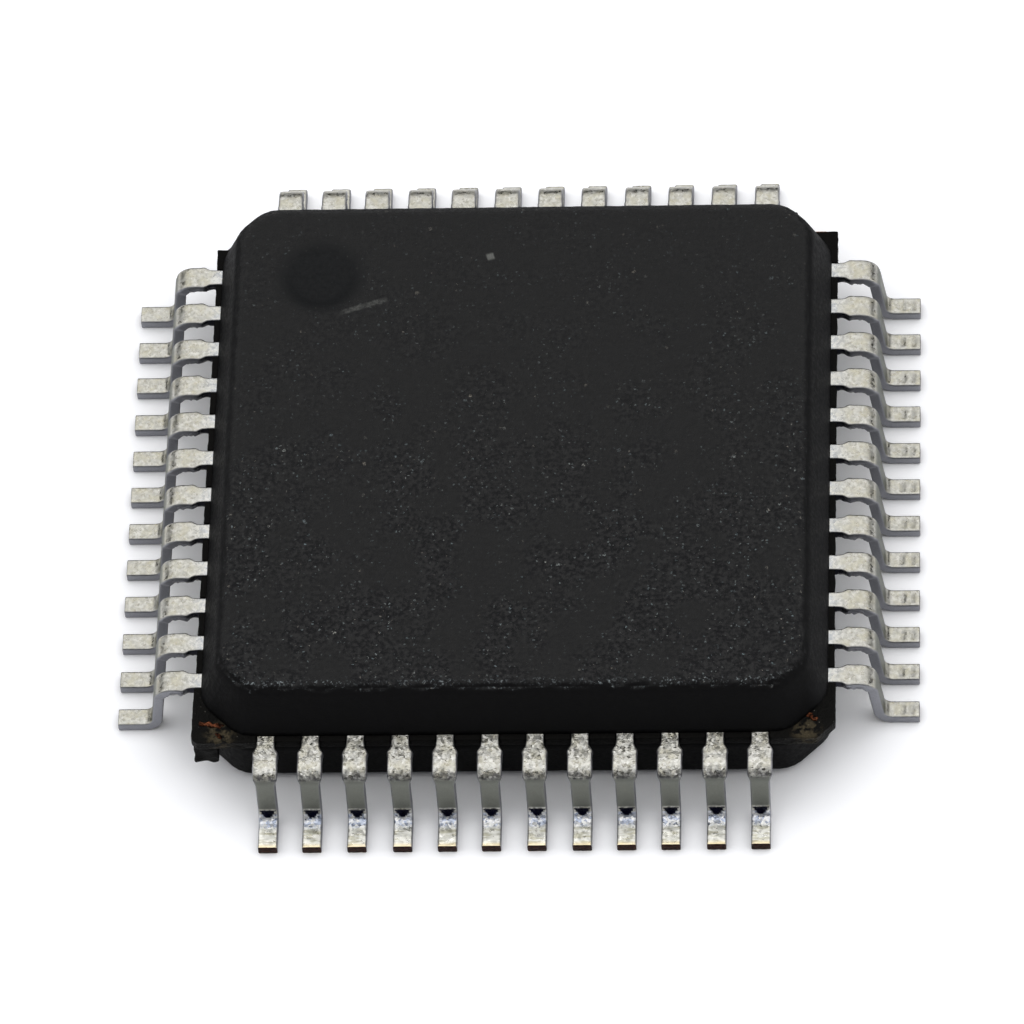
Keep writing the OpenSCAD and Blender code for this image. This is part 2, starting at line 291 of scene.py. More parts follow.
def body_material():
    """Epoxy moulding compound, filled with silica, and moulded against a spark-eroded face: matt charcoal
    with a fine grain, in which pale crystals of the filler are painted bright, as glints, with painted glints
    along the rounded front edge too. The sides, moulded against plain steel, are smoother, and they and the
    rounded edges are painted darker than the top, as shade, with a painted sheen on the right-hand side.
    The disc in the corner, where a pin pressed, is smoother and darker."""
    material, tree, shader, mm = new_material("silica filled epoxy moulded matt", "#232323", 0.62)
    place = add(tree, "SeparateXYZ", {0: mm})
    face = add(tree, "NewGeometry").outputs["Normal"]
    upward = add(tree, "SeparateXYZ", {0: face}).outputs[2]
    # Faces turned away from straight up take the darker side colour: painted shade on the sides and the rounded edges.
    top = spread(tree, upward, 0.74, 0.97)
    grain = grains(tree, mm, 0.052, 4.0, 0.7)
    cloud = grains(tree, mm, 0.7, 3.0)
    to_front = spread(tree, place.outputs[1], 2.6, -2.6, 0.3, 1.0, smooth=False)
    patchy = spread(tree, cloud, 0.38, 0.6, 0.2, 1.0)
    sharp = maths(tree, "MULTIPLY", to_front, patchy)
    charcoal = mix(tree, spread(tree, grain, 0.38, 0.64), "#0b0b0e", "#2f2f2f")
    charcoal = mix(tree, spread(tree, sharp, 0.0, 1.0, 0.8, 0.0), charcoal, "#222222")
    wander = add(tree, "TexNoise", {"Vector": mm, "Scale": 1 / 0.02, "Detail": 2.0}).outputs["Color"]
    ragged = add(tree, "VectorMath", {0: wander, 1: (0.045, 0.045, 0.045), 2: mm}, operation="MULTIPLY_ADD")
    ragged = ragged.outputs[0]
    # Pale filler specks, painted as bright as glints; stronger towards the front and in the grainy patches.
    filler_glint_cells = add(tree, "TexVoronoi", {"Vector": ragged, "Scale": 1 / 0.042, "Randomness": 1.0})
    luck = add(tree, "SeparateColor", {0: filler_glint_cells.outputs["Color"]})
    size = spread(tree, luck.outputs[1], 0.4, 1.0, 0.0, 0.34, smooth=False)
    spark = add(tree, "Math", {0: filler_glint_cells.outputs["Distance"], 1: size}, operation="LESS_THAN").outputs[0]
    uneven = spread(tree, grains(tree, mm, 0.012, 1.0), 0.4, 0.6)
    spark = maths(tree, "MULTIPLY", maths(tree, "MULTIPLY", spark, uneven), sharp)
    spark = maths(tree, "MULTIPLY", spark, spread(tree, luck.outputs[0], 0.0, 1.0, 0.25, 1.0))
    charcoal = mix(tree, spark, charcoal, mix(tree, luck.outputs[2], "#7d8d92", "#a39c92"))
    # Rarer, larger filler flakes, painted as bright glints too.
    large = add(tree, "TexVoronoi", {"Vector": ragged, "Scale": 1 / 0.13, "Randomness": 1.0})
    chosen = add(tree, "SeparateColor", {0: large.outputs["Color"]})
    reach = spread(tree, chosen.outputs[0], 0.8, 1.0, 0.0, 0.19, smooth=False)
    flake = add(tree, "Math", {0: large.outputs["Distance"], 1: reach}, operation="LESS_THAN").outputs[0]
    flake = maths(tree, "MULTIPLY", maths(tree, "MULTIPLY", flake, uneven), maths(tree, "MULTIPLY", sharp, 0.9))
    charcoal = mix(tree, flake, charcoal, mix(tree, chosen.outputs[1], "#8f9ea3", "#b5ada0"))
    # Painted glints along the rounded front edge of the top.
    rim = maths(tree, "MULTIPLY", spread(tree, upward, 0.66, 0.84), spread(tree, upward, 0.97, 0.998, 1.0, 0.0))
    rim = maths(tree, "MULTIPLY", rim, spread(tree, place.outputs[1], -3.0, -3.15))
    painted_glint = spread(tree, grains(tree, mm, 0.03, 3.0, 0.65), 0.55, 0.66)
    painted_glint = maths(tree, "MULTIPLY", painted_glint, spread(tree, grains(tree, mm, 0.2, 2.0), 0.42, 0.62, 0.22, 1.0))
    charcoal = mix(tree, maths(tree, "MULTIPLY", rim, painted_glint), charcoal, "#969fa2")
    away = add(tree, "VectorMath", {0: mm, 1: (DIMPLE_AT.x, DIMPLE_AT.y, BODY_TOP)}, operation="DISTANCE")
    disc = spread(tree, away.outputs["Value"], DIMPLE_R - 0.16, DIMPLE_R + 0.1, 0.9, 0.0)
    charcoal = mix(tree, disc, charcoal, "#080a0c")
    scratch = near_line(tree, mm, (-2.08, 1.78), (-1.5, 1.98), 0.045)
    scratch = maths(tree, "MULTIPLY", scratch, spread(tree, grain, 0.35, 0.65, 0.15, 0.6))
    dust = near_line(tree, mm, (-0.42, 2.53), (-0.32, 2.56), 0.06)
    charcoal = mix(tree, maths(tree, "MAXIMUM", scratch, dust), charcoal, "#626360")
    # Side colours: painted darker than the top, as shade, and painted lighter towards the right-hand side, as sheen.
    side = mix(tree, grain, "#0c0c0c", "#181819")
    side = mix(tree, spread(tree, place.outputs[0], 3.25, 3.5, 0.0, 0.7), side, "#29292a")
    link(tree, mix(tree, top, side, charcoal), shader, "Base Color")
    link(tree, spread(tree, grain, 0.3, 0.7, 0.5, 0.75), shader, "Roughness")
    link(tree, spread(tree, top, 0.0, 1.0, 0.05, 0.16, smooth=False), shader, "Specular IOR Level")
    fine = grains(tree, mm, 0.02, 2.0, 0.7)
    height = maths(tree, "ADD", maths(tree, "MULTIPLY", grain, 0.7), maths(tree, "MULTIPLY", fine, 0.3))
    calm = maths(tree, "MULTIPLY", height, spread(tree, top, 0.0, 1.0, 0.25, 1.0))
    relief(tree, shader, maths(tree, "MULTIPLY", calm, spread(tree, disc, 0.0, 0.7, 1.0, 0.2)), 0.035)
    return material


def ledge_material():
    """The same compound where it was squeezed between the dam bars: darker, and smoother."""
    material, tree, shader, mm = new_material("epoxy squeezed at the parting line", "#0a0a0a", 0.55, specular=0.05)
    grain = grains(tree, mm, 0.03, 3.0, 0.6)
    link(tree, mix(tree, grain, "#060606", "#12110f"), shader, "Base Color")
    relief(tree, shader, grain, 0.01)
    return material


def flash_material():
    """A thin skin of resin that bled over the copper frame at the corners: nearly black, and olive brown
    where it is thin and the copper shows through."""
    material, tree, shader, mm = new_material("resin bleed over copper", "#15140f", 0.55, specular=0.08)
    place = add(tree, "SeparateXYZ", {0: mm})
    mirrored = add(tree, "CombineXYZ", {0: maths(tree, "ABSOLUTE", place.outputs[0]), 1: place.outputs[1], 2: place.outputs[2]})
    away = add(tree, "VectorMath", {0: mirrored.outputs[0], 1: THIN_RESIN_AT}, operation="DISTANCE")
    cloud = grains(tree, mm, 0.08, 3.0, 0.6)
    grain = grains(tree, mm, 0.03, 2.0, 0.6)
    thin = maths(tree, "MULTIPLY", spread(tree, away.outputs["Value"], 0.06, 0.22, 1.0, 0.0),
                 spread(tree, cloud, 0.4, 0.56))
    colour = mix(tree, thin, mix(tree, cloud, "#050505", "#11100d"), mix(tree, grain, "#2a281c", "#574d3c"))
    specks = spread(tree, grains(tree, mm, 0.03, 1.0), 0.72, 0.8, 0.0, 0.5)
    link(tree, mix(tree, specks, colour, "#97958a"), shader, "Base Color")
    relief(tree, shader, grain, 0.02)
    return material


def tin_material():
    """Matt tin, plated on a copper frame which is then cut and bent. Flats are pale and crystalline, and
    glitter crystal by crystal, with a painted highlight along the top of the front row's toes. The riser
    is burnished where the forming punch worked it, and painted a plain darker grey as the reflection of the
    dark ground in front. Sheared side faces are painted a duller, bluish grey, as a reflection too, and
    carry painted shade close to the body, at the end of the front row's upper bend and in the crook of
    its heel; the dents are darker as well."""
    material, tree, shader, mm = new_material("matt tin plate over copper", "#c9c7bd", 0.36, metallic=1.0)
    wear_and_reflection = add(tree, "SeparateXYZ", {0: add(tree, "Attribute", attribute_name="wear_and_reflection").outputs["Vector"]})
    burnish_and_dark_reflection, cut, cool = wear_and_reflection.outputs
    painted_shade_and_dark_dents = add(tree, "Attribute", attribute_name="painted_shade_and_dark_dents").outputs["Fac"]
    place = add(tree, "SeparateXYZ", {0: mm})
    lively = spread(tree, place.outputs[1], -3.2, -3.55, 0.5, 1.0)
    cells = add(tree, "TexVoronoi", {"Vector": mm, "Scale": 1 / 0.03, "Randomness": 1.0})
    tone = add(tree, "SeparateColor", {0: cells.outputs["Color"]}).outputs[0]
    fine = grains(tree, mm, 0.018, 2.0, 0.6)
    cloud = grains(tree, mm, 0.12, 3.0)
    streaks = grains(tree, mm, 0.045, 3.0, 0.65)
    calm = mix(tree, spread(tree, streaks, 0.35, 0.65), "#87857c", "#aba99f")
    crystals = mix(tree, tone, "#a5a399", "#fbfaf5")
    crystals = mix(tree, spread(tree, streaks, 0.5, 0.72, 0.0, 0.8), crystals, "#fffefa")
    pale = mix(tree, lively, calm, mix(tree, 0.7, calm, crystals))
    pale = mix(tree, spread(tree, cloud, 0.4, 0.7, 0.0, 0.5), pale, "#b3ae98")
    flat_foot = spread(tree, place.outputs[1], -4.2, -4.28, 0.0, 0.75)
    across = add(tree, "Mapping", {"Vector": mm, "Scale": (0.35, 1.5, 1)}).outputs["Vector"]
    bars = grains(tree, across, 0.055, 2.0, 0.6)
    pale = mix(tree, flat_foot, pale, mix(tree, spread(tree, bars, 0.38, 0.54), "#d2cfba", "#fffef6"))
    # A painted highlight along the top of the front row's toes.
    pale = mix(tree, spread(tree, place.outputs[1], -4.43, -4.49, 0.0, 0.7), pale, "#f6e3b4")
    pale = mix(tree, cool, pale, mix(tree, spread(tree, tone, 0.2, 0.9), "#b4bfd6", "#ffffff"))
    # The riser is painted a darker grey, as the reflection of the dark ground in front of it.
    riser_painted_reflection = mix(tree, fine, "#686a64", "#787a73")
    # The sheared side faces are painted a bluish grey, as the reflection of the shaded ground beside them.
    sheared = mix(tree, fine, "#7f8087", "#98999d")
    colour = mix(tree, cut, mix(tree, burnish_and_dark_reflection, pale, riser_painted_reflection), sheared)
    # Painted shade, dark navy: on the side faces near the body, at the end of the front row's upper bend, in the crook
    # of its heel, and in the dents.
    patchy = maths(tree, "MAXIMUM", spread(tree, streaks, 0.4, 0.6), spread(tree, painted_shade_and_dark_dents, 0.76, 0.85))
    link(tree, mix(tree, maths(tree, "MULTIPLY", painted_shade_and_dark_dents, patchy), colour, "#0c0d20"), shader, "Base Color")
    quiet = maths(tree, "MAXIMUM", burnish_and_dark_reflection, cut)
    rough_flat = spread(tree, tone, 0.0, 1.0, 0.26, 0.46)
    link(tree, add(tree, "Mix", {0: quiet, 2: rough_flat, 3: 0.5}).outputs[0], shader, "Roughness")
    restless = spread(tree, place.outputs[1], -3.2, -3.55, 0.15, 0.9)
    restless = maths(tree, "MULTIPLY", restless, spread(tree, flat_foot, 0.0, 0.75, 1.0, 0.22))
    loud = maths(tree, "MULTIPLY", spread(tree, quiet, 0.0, 1.0, 1.0, 0.08, smooth=False), restless)
    height = maths(tree, "MULTIPLY", fine, loud)
    bump = add(tree, "Bump", {"Height": height, "Strength": 1.0, "Distance": 0.008 * MM})
    facets(tree, shader, bump.outputs["Normal"], cells.outputs["Color"], maths(tree, "MULTIPLY", loud, 0.38))
    return material


def cut_copper():
    """Copper alloy sheared after plating: a torn face, oxidised brown, and painted darker still as shade."""
    material, tree, shader, mm = new_material("sheared copper alloy, oxidised, painted shade", "#3a1e16", 0.5, metallic=1.0)
    grain = grains(tree, mm, 0.03, 3.0, 0.6)
    # Darker than oxidised copper alone: painted shade on the toe ends.
    link(tree, mix(tree, spread(tree, grain, 0.35, 0.7), "#140a08", "#3c2119"), shader, "Base Color")
    relief(tree, shader, grain, 0.01)
    return material


def torn_copper():
    """The torn end of a tie bar: tarnished copper, orange only where it tore last."""
    material, tree, shader, mm = new_material("torn copper tie bar, tarnished", "#4a2c20", 0.5, metallic=1.0)
    grain = grains(tree, mm, 0.05, 3.0, 0.6)
    link(tree, mix(tree, spread(tree, grain, 0.4, 0.7), "#1d120e", "#8a5238"), shader, "Base Color")
    relief(tree, shader, grain, 0.02)
    return material


def rolled_copper():
    """Rolled copper alloy, bare: warm, with fine lines along the rolling direction."""
    material, tree, shader, mm = new_material("rolled copper alloy, bare", "#b87a55", 0.35, metallic=1.0)
    stretched = add(tree, "Mapping", {"Vector": mm, "Scale": (1, 12, 1)}).outputs["Vector"]
    lines = grains(tree, stretched, 0.12, 3.0)
    link(tree, mix(tree, lines, "#a56a48", "#cf9168"), shader, "Base Color")
    relief(tree, shader, lines, 0.002)
    return material


def silver_epoxy():
    """Silver-filled epoxy, cured: pale grey, with the flakes of its filler."""
    material, tree, shader, mm = new_material("silver filled epoxy, cured", "#9a9a94", 0.5, metallic=0.4)
    flake = grains(tree, mm, 0.03, 2.0)
    link(tree, mix(tree, flake, "#7d7d78", "#c0c0ba"), shader, "Base Color")
    relief(tree, shader, flake, 0.004)
    return material


def etched_silicon():
    """Polished silicon with etched layers: a grey mirror, tinted in blocks by the layers' thickness."""
    material, tree, shader, mm = new_material("etched silicon", "#5b6072", 0.18, metallic=0.7)
    cells = add(tree, "TexVoronoi", {"Vector": mm, "Scale": 2.5}, distance="CHEBYCHEV")
    tone = add(tree, "SeparateColor", {0: cells.outputs["Color"]}).outputs[0]
    tracks = add(tree, "TexBrick", {"Vector": mm, "Scale": 12.0, "Mortar Size": 0.08})
    colour = mix(tree, tone, "#4a5270", "#77688a")
    link(tree, mix(tree, maths(tree, "MULTIPLY", tracks.outputs["Fac"], 0.5), colour, "#a9a58c"), shader, "Base Color")
    return material


def drawn_gold():
    """Drawn gold wire: bright, with faint die marks."""
    material, tree, shader, mm = new_material("drawn gold wire", "#e2b45c", 0.25, metallic=1.0)
    marks = grains(tree, mm, 0.02, 2.0)
    link(tree, mix(tree, marks, "#d6a44a", "#f0c873"), shader, "Base Color")
    relief(tree, shader, marks, 0.001)
    return material


BODY = body_material()
LEDGE = ledge_material()
FLASH = flash_material()
TIN = tin_material()
CUT_COPPER = cut_copper()
TORN_COPPER = torn_copper()
for node, material in {
    "die_paddle": rolled_copper(), "die_attach": silver_epoxy(), "silicon_die": etched_silicon(),
}.items():
    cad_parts[node].data.materials.clear()
    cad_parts[node].data.materials.append(material)
gold = drawn_gold()
for side in ("left", "front", "right", "back"):
    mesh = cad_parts["bond_wires_" + side].data
    mesh.materials.clear()
    mesh.materials.append(gold)


# --- Moulded body ---

GRID = 0.036                # spacing of the cuts that carry the grain


def mould_half(half, corner, draft, edge_r, plane, face):
    """One half of the moulding: a box with drafted sides, cut corners and rounded edges, open at the
    parting plane. The face is the level of its flat face, above or below the plane."""
    up = 1 if face > plane else -1
    tilt = math.radians(draft)
    bm = bmesh.new()
    verts = box(bm, (-half, -half, min(plane, face)), (half, half, max(plane, face)))
    far = [v for v in verts if abs(v.co.z - face) < 1e-6]
    shrink = (half - abs(face - plane) * math.tan(tilt)) / half
    bmesh.ops.scale(bm, verts=far, vec=(shrink, shrink, 1))
    for x, y in ((1, 1), (-1, 1), (-1, -1), (1, -1)):
        cut = bmesh.ops.bisect_plane(
            bm, geom=everything(bm), plane_co=(x * (half - corner / 2), y * (half - corner / 2), plane),
            plane_no=(x * math.cos(tilt), y * math.cos(tilt), up * math.sin(tilt) * math.sqrt(2)),
            clear_outer=True)
        rim = [g for g in cut["geom_cut"] if isinstance(g, bmesh.types.BMEdge)]
        bmesh.ops.contextual_create(bm, geom=rim)
    slanted = edges_where(bm, lambda a, b: abs(a.z - b.z) > 0.1)
    round_edges(bm, slanted, CORNER_BLEND * math.tan(math.radians(22.5)), 3)
    rim = edges_where(bm, lambda a, b: abs(a.z - face) < 1e-6 and abs(b.z - face) < 1e-6)
    round_edges(bm, rim, edge_r * math.tan(math.radians((90 - draft) / 2)), 5)
    return bm


def package_top():
    bm = mould_half(BODY_HALF, UPPER_CORNER, UPPER_DRAFT, UPPER_EDGE_R, FRAME_TOP, BODY_TOP)
    bmesh.ops.recalc_face_normals(bm, faces=bm.faces)
    slice_up(bm, 0, -BODY_HALF, BODY_HALF, GRID)
    slice_up(bm, 1, -BODY_HALF, BODY_HALF, GRID)
    slice_up(bm, 2, FRAME_TOP, BODY_TOP, GRID * 1.5)
    for v in bm.verts:
        away = (v.co.xy - DIMPLE_AT).length
        if v.co.z > BODY_TOP - 1e-4:
            v.co.z -= DIMPLE_DEPTH * ease((DIMPLE_R - away) / DIMPLE_RIM)
    bm.normal_update()
    for v in bm.verts:
        if v.co.z < FRAME_TOP + 0.01:
            continue
        edge = max(0.0, 1 - abs(v.normal.z - 0.75) / 0.25)
        depth = 0.001 + 0.002 * max(0.0, v.normal.z) + edge * (0.009 if v.co.y < -2.5 else 0.004)
        if (v.co.xy - DIMPLE_AT).length < DIMPLE_R:
            depth = 0.0006
        lift = rough(v.co, 0.07) + 0.8 * rough(v.co + Vector((7, 3, 1)), 0.16) - 0.5
        v.co += v.normal * min(0, depth * lift)
    return finish_piece("package_top", bm, [BODY], ["mould_body"])


def package_base():
    bm = mould_half(LOWER_HALF, LOWER_CORNER, LOWER_DRAFT, LOWER_EDGE_R, FRAME_LOW, STANDOFF)
    bmesh.ops.recalc_face_normals(bm, faces=bm.faces)
    slice_up(bm, 0, -LOWER_HALF, LOWER_HALF, GRID * 3)
    slice_up(bm, 1, -LOWER_HALF, LOWER_HALF, GRID * 3)
    slice_up(bm, 2, STANDOFF, FRAME_LOW, GRID * 3)
    bm.normal_update()
    for v in bm.verts:
        if v.co.z < FRAME_LOW - 0.01:
            v.co += v.normal * (0.003 * rough(v.co, 0.2) - 0.003)
    return finish_piece("package_base", bm, [BODY], ["mould_body"])


# --- Ledge between the leads ---

def row_place(n):
    return (n - (ROW - 1) / 2) * PITCH


def ledge():
    """The resin that the dam bars held back: a block between each pair of leads, and the four corners."""
    bm = bmesh.new()
    inner = BODY_HALF - 0.3
    for side in range(4):
        made = []
        for n in range(ROW - 1):
            low = row_place(n) + EXIT_W / 2
            high = row_place(n + 1) - EXIT_W / 2
            made += box(bm, (low, -LEDGE_HALF, FRAME_LOW), (high, -inner, FRAME_TOP))
        bmesh.ops.rotate(bm, verts=made, matrix=Matrix.Rotation(math.radians(90 * (side - 1)), 3, "Z"))
    round_edges(bm, bm.edges[:], 0.014, 2)
    slice_up(bm, 0, -LEDGE_HALF, LEDGE_HALF, 0.05)
    slice_up(bm, 1, -LEDGE_HALF, LEDGE_HALF, 0.05)
    bm.normal_update()
    for v in bm.verts:
        v.co += v.normal * (0.008 * rough(v.co, 0.08) - 0.003)
    return finish_piece("ledge_blocks", bm, [LEDGE])


def cut_corner(bm, middle):
    """Cuts the outer corner off a block, square to the diagonal, and closes the cut."""
    cut = bmesh.ops.bisect_plane(
        bm, geom=everything(bm), plane_co=(middle, middle, 0), plane_no=(1, 1, 0), clear_outer=True)
    rim = [g for g in cut["geom_cut"] if isinstance(g, bmesh.types.BMEdge)]
    bmesh.ops.contextual_create(bm, geom=rim)


def corner_pieces():
    """The ledge's four corners. Resin bled over the tie bars at the two in front."""
    end = row_place(ROW - 1) + EXIT_W / 2
    inner = BODY_HALF - 0.45
    top = FRAME_TOP + 0.008
    shapes = {
        "front_left": (-1, -1, TRIM_LEFT, 0, 0),
        "front_right": (1, -1, TRIM_RIGHT, 0, 0),
        "back_right": (1, 1, 0, NOTCH_BACK, NOTCH_RIGHT),
        "back_left": (-1, 1, 0, NOTCH_BACK, NOTCH_LEFT),
    }
    for name, (sx, sy, trim, notch_x, notch_y) in shapes.items():
        bm = bmesh.new()
        if trim:
            box(bm, (end, end, FRAME_LOW - 0.004), (LEDGE_HALF + 0.014, LEDGE_HALF + 0.014, top))
            cut_corner(bm, LEDGE_HALF - trim / 2 + 0.012)
        else:
            box(bm, (inner, inner, FRAME_LOW + 0.002), (BODY_HALF, BODY_HALF, top - 0.004))
            cut_corner(bm, BODY_HALF - UPPER_CORNER / 2 + 0.014)
            box(bm, (end, inner, FRAME_LOW), (LEDGE_HALF - notch_x, LEDGE_HALF, top))
            box(bm, (inner, end, FRAME_LOW), (LEDGE_HALF, LEDGE_HALF - notch_y, top))
        round_edges(bm, bm.edges[:], 0.012, 2)
        slice_up(bm, 0, end, LEDGE_HALF, 0.03)
        slice_up(bm, 1, end, LEDGE_HALF, 0.03)
        slice_up(bm, 2, FRAME_LOW, top, 0.03)
        bmesh.ops.scale(bm, verts=bm.verts, vec=(sx, sy, 1))
        bmesh.ops.recalc_face_normals(bm, faces=bm.faces)
        bm.normal_update()
        for v in bm.verts:
            depth = 0.004 if v.normal.z > 0.7 else 0.01
            v.co += v.normal * depth * (rough(v.co, 0.07) - 0.3)
        finish_piece("ledge_corner_" + name, bm, [FLASH if trim else LEDGE])


def gate_stub():
    """What is left of the gate through which the mould was filled."""
    bm = bmesh.new()
    low = FRAME_LOW - 0.3
    box(bm, (-LEDGE_HALF, -LEDGE_HALF, low), (-LEDGE_HALF + 0.28, -LEDGE_HALF + 0.28, FRAME_LOW + 0.02))
    round_edges(bm, bm.edges[:], 0.02, 3)
    for axis, start in ((0, -LEDGE_HALF), (1, -LEDGE_HALF), (2, low)):
        slice_up(bm, axis, start, start + 0.3, 0.03)
    bm.normal_update()
    for v in bm.verts:
        v.co += v.normal * (0.02 * rough(v.co, 0.09) - 0.006)
    return finish_piece("gate_stub", bm, [LEDGE])


# --- Leads ---

STEP = 0.022                # length of a slice of a lead outside the body
MID_R = BEND_R + FRAME_T / 2
SWEEP = math.pi / 2 - LEAN
BEND_AT = BODY_HALF + SHOULDER_LEN
RISER = (FRAME_LOW - BEND_R - BEND_R - FRAME_T + 2 * MID_R * math.sin(LEAN)) / math.cos(LEAN)
ARC = MID_R * SWEEP
S_RISER = BEND_AT + ARC
S_LOWER = S_RISER + RISER
S_FOOT = S_LOWER + ARC
FOOT_Y = BEND_AT + 2 * MID_R * math.cos(LEAN) + RISER * math.sin(LEAN)
S_TOE = S_FOOT + TOE - FOOT_Y
NECK_FROM = BEND_AT + MID_R * math.radians(54)
NECK_TO = BEND_AT + MID_R * math.radians(76)


def half_width(s):
    """Half the width of a lead's blank at distance s from the middle of the body, along the blank."""
    stops = [
        (TIP, TIP_W), (KNEE, EXIT_W), (LEDGE_HALF, EXIT_W), (BODY_HALF + STUB_OUT - 0.07, EXIT_W + 0.014),
        (BODY_HALF + STUB_OUT - 0.02, STUB_W - 0.008), (BODY_HALF + STUB_OUT, STUB_W),
        (BODY_HALF + STUB_OUT + STUB_FALL, SHOULDER_W), (NECK_FROM, SHOULDER_W), (NECK_TO, FOOT_W),
        (S_TOE, FOOT_W),
    ]
    for (s0, w0), (s1, w1) in zip(stops, stops[1:]):
        if s <= s1:
            return (w0 + (w1 - w0) * (s - s0) / (s1 - s0)) / 2
    return FOOT_W / 2


def bend(s, lift):
    """Where a point of the flat blank goes: its distance out from the middle, its height and its normal."""
    if s <= BEND_AT:
        return s, FRAME_LOW + FRAME_T / 2 + lift
    if s <= S_RISER:
        a = math.pi / 2 - (s - BEND_AT) / MID_R
        return BEND_AT + (MID_R + lift) * math.cos(a), FRAME_LOW - BEND_R + (MID_R + lift) * math.sin(a)
    if s <= S_LOWER:
        y, z = bend(S_RISER, lift)
        return y + (s - S_RISER) * math.sin(LEAN), z - (s - S_RISER) * math.cos(LEAN)
    if s <= S_FOOT:
        a = math.pi + LEAN + (s - S_LOWER) / MID_R
        return FOOT_Y + (MID_R - lift) * math.cos(a), FRAME_T + BEND_R + (MID_R - lift) * math.sin(a)
    return FOOT_Y + s - S_FOOT, FRAME_T / 2 + lift


def lead_blank():
    """The flat strip that every lead is formed from, already cut into slices and with its edges rounded."""
    bm = bmesh.new()
    box(bm, (-0.5, TIP, -FRAME_T / 2), (0.5, S_TOE, FRAME_T / 2))
    long_edges = edges_where(bm, lambda a, b: abs(a.y - b.y) > 1)
    bmesh.ops.scale(bm, verts=bm.verts, vec=(FOOT_W, 1, 1))
    round_edges(bm, long_edges, 0.022, 3)
    toe_rim = edges_where(bm, lambda a, b: a.y > S_TOE - 1e-6 and b.y > S_TOE - 1e-6)
    round_edges(bm, toe_rim, 0.01, 2)
    slice_up(bm, 1, TIP, BODY_HALF - 0.1, 0.12)
    slice_up(bm, 1, BODY_HALF - 0.1, S_TOE, STEP)
    slice_up(bm, 0, -FOOT_W / 2 + 0.022, FOOT_W / 2 - 0.022, STEP)
    slice_up(bm, 2, -FRAME_T / 2 + 0.022, FRAME_T / 2 - 0.022, STEP)
    blank = bpy.data.meshes.new("lead blank")
    bm.to_mesh(blank)
    bm.free()
    return blank


def wear_and_reflection_at(s, across, front_row):
    """How the plating looks at a place on a lead: burnished by the punch on the riser, and painted darker there
    as the reflection of the dark ground in front; painted a bluish grey on the sheared side faces, as a
    reflection too; and cool in tone where it leaves the body, or, in the front row, in the heel, where the
    riser's painted colour also ends higher."""
    heel, blend = (S_LOWER - 0.085, 0.02) if front_row else (S_LOWER - 0.02, 0.12)
    burnish_and_dark_reflection = ease((s - NECK_FROM + 0.01) / 0.03) * (1 - ease((s - heel) / blend))
    cut = ease((across - 0.86) / 0.1)
    if front_row:
        cool = 0.8 * ease((s - S_LOWER) / 0.04) * (1 - ease((s - S_FOOT) / 0.08))
    else:
        cool = 0.3 * (1 - ease((s - BODY_HALF + 0.05) / 0.3))
    return Vector((burnish_and_dark_reflection, cut, cool))


def painted_shade_at(s, across, lift, front_row):
    """Painted shade on the plating: on the sheared faces close to the body, and in the front row where the
    upper bend ends and in the crook of the heel."""
    dark = 0.9 * ease((across - 0.9) / 0.08) * (1 - ease((s - BODY_HALF - 0.12) / 0.2))
    if front_row and lift > 0:
        dark = max(dark, 0.75 * ease((s - BEND_AT - MID_R * 0.5) / 0.06) * (1 - ease((s - NECK_FROM - 0.01) / 0.02)))
        deep = (s - S_LOWER + 0.075) / 0.17
        if 0 < deep < 1:
            dark = max(dark, (1 - ease((across - 0.92 + 0.66 * deep) / 0.12)) * ease(deep / 0.1))
    return dark


def dent_at(s, across, dents):
    """The two marks that the contacts of a test socket left on a foot."""
    return max(
        (1 - ease((abs(s - place) - 0.015) / 0.018)) * (1 - ease((across - 0.5) / 0.2)) for place in dents)


